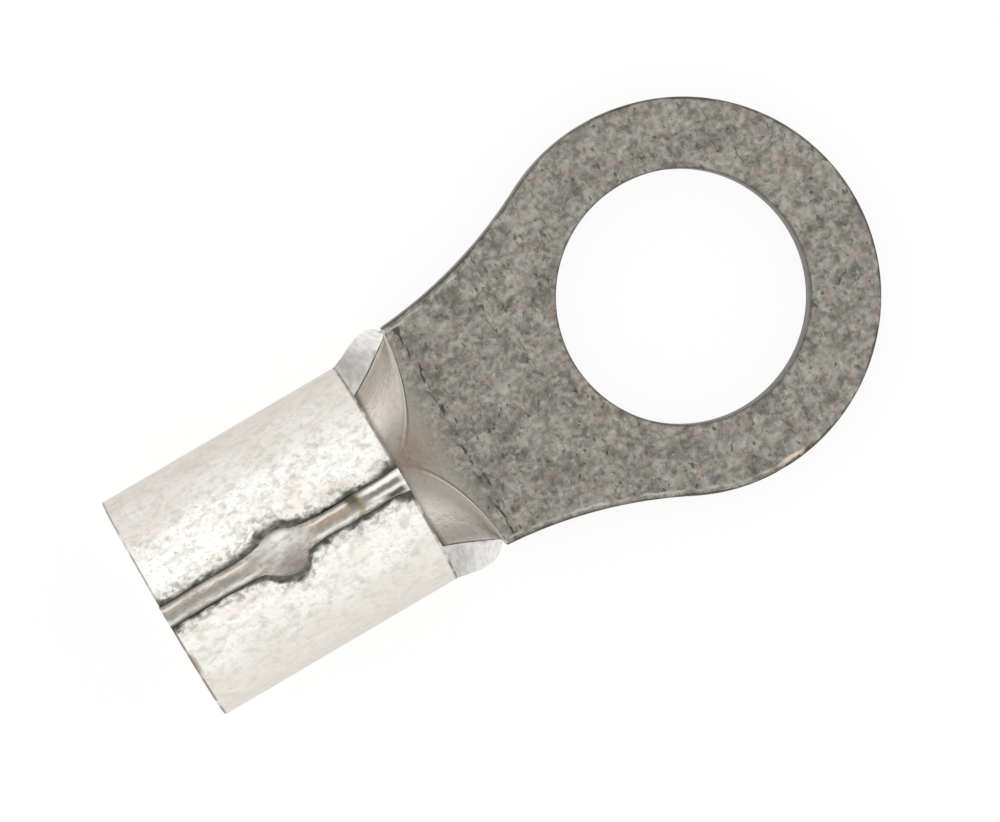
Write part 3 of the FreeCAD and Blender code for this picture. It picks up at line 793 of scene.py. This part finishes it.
def make_bead():
    """The filler: its rippled top over the gap, and a plain root down to the bore."""
    bm = bmesh.new()
    bmesh.ops.create_grid(bm, x_segments=240, y_segments=36, size=1.0)
    for vertex in bm.verts:
        along = (vertex.co.x + 1) / 2 * BARREL_LENGTH
        share = vertex.co.y
        across = share * bead_edge(share, along)
        height = bead_height(along, share, across)
        vertex.co = Vector((along + BARREL_REAR, across, height))
    rim = [edge for edge in bm.edges if edge.is_boundary]
    walls = bmesh.ops.extrude_edge_only(bm, edges=rim)["geom"]
    for vertex in (item for item in walls if isinstance(item, bmesh.types.BMVert)):
        vertex.co.y = min(max(vertex.co.y, -HALF_GAP), HALF_GAP)
        vertex.co.z = tube_height(vertex.co.y, BARREL_RADIUS) - BEAD_SUNK
    lower_rim = [item for item in walls if isinstance(item, bmesh.types.BMEdge)]
    roots = bmesh.ops.extrude_edge_only(bm, edges=lower_rim)["geom"]
    for vertex in (item for item in roots if isinstance(item, bmesh.types.BMVert)):
        vertex.co.z = tube_height(vertex.co.y, BORE_RADIUS)
    bmesh.ops.holes_fill(bm, edges=[edge for edge in bm.edges if edge.is_boundary])
    bmesh.ops.recalc_face_normals(bm, faces=bm.faces)
    piece = new_piece("braze_bead", bm, [bead_surface()], smooth_angle=60)
    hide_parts("braze_seam")


# Surroundings

def make_floor():
    """The paper that the terminal lies on."""
    bm = bmesh.new()
    bmesh.ops.create_grid(bm, x_segments=1, y_segments=1, size=FLOOR_REACH)
    bmesh.ops.translate(bm, vec=(0, 0, -FLOOR_DROP), verts=bm.verts)
    floor = new_object("floor", bm, [paper()])


def make_world():
    """White surroundings where they show, and a dimmer white as light."""
    world = bpy.data.worlds.new("white_studio")
    bpy.context.scene.world = world
    world.use_nodes = True
    tree = world.node_tree
    tree.nodes.clear()
    strength = add(tree, "MapRange", [shown_white(tree), 0.0, 1.0, 0.55, 1.0])
    background = add(tree, "Background", [WHITE, strength])
    add(tree, "OutputWorld", [background])


def add_lamp(name, place, width, power):
    """A soft square lamp, in millimetres and watts, that faces the terminal."""
    lamp = bpy.data.lights.new(name, "AREA")
    lamp.shape = "SQUARE"
    lamp.size = width * MM
    lamp.energy = power
    item = bpy.data.objects.new(name, lamp)
    item.location = Vector(place) * MM
    aim = Vector(TERMINAL_MIDDLE) * MM - item.location
    item.rotation_euler = aim.to_track_quat("-Z", "Y").to_euler()
    bpy.context.scene.collection.objects.link(item)


def make_camera():
    """A close camera nearly straight above, turned by 30 degrees, as in the photograph."""
    look = Matrix.Identity(3)
    for axis, degrees in CAMERA_TURNS:
        look = look @ Matrix.Rotation(math.radians(degrees), 3, axis)
    across = (HOLE_ACROSS - PHOTO_WIDTH / 2) / PIXELS_PER_MM
    up = (PHOTO_HEIGHT / 2 - HOLE_DOWN) / PIXELS_PER_MM
    hole = Vector((across, up, -CAMERA_DISTANCE))
    data = bpy.data.cameras.new("camera")
    data.sensor_width = SENSOR_WIDTH
    data.lens = SENSOR_WIDTH * PIXELS_PER_MM * CAMERA_DISTANCE / PHOTO_WIDTH
    data.clip_start = 1 * MM
    data.clip_end = 2000 * MM
    camera = bpy.data.objects.new("camera", data)
    place = look.transposed() @ -hole * MM
    camera.matrix_world = Matrix.Translation(place) @ look.transposed().to_4x4()
    bpy.context.scene.collection.objects.link(camera)
    bpy.context.scene.camera = camera


make_sheet()
make_bead()
make_floor()
make_world()
for lamp in LAMPS:
    add_lamp(*lamp)
make_camera()
bpy.context.scene.view_settings.view_transform = "Standard"
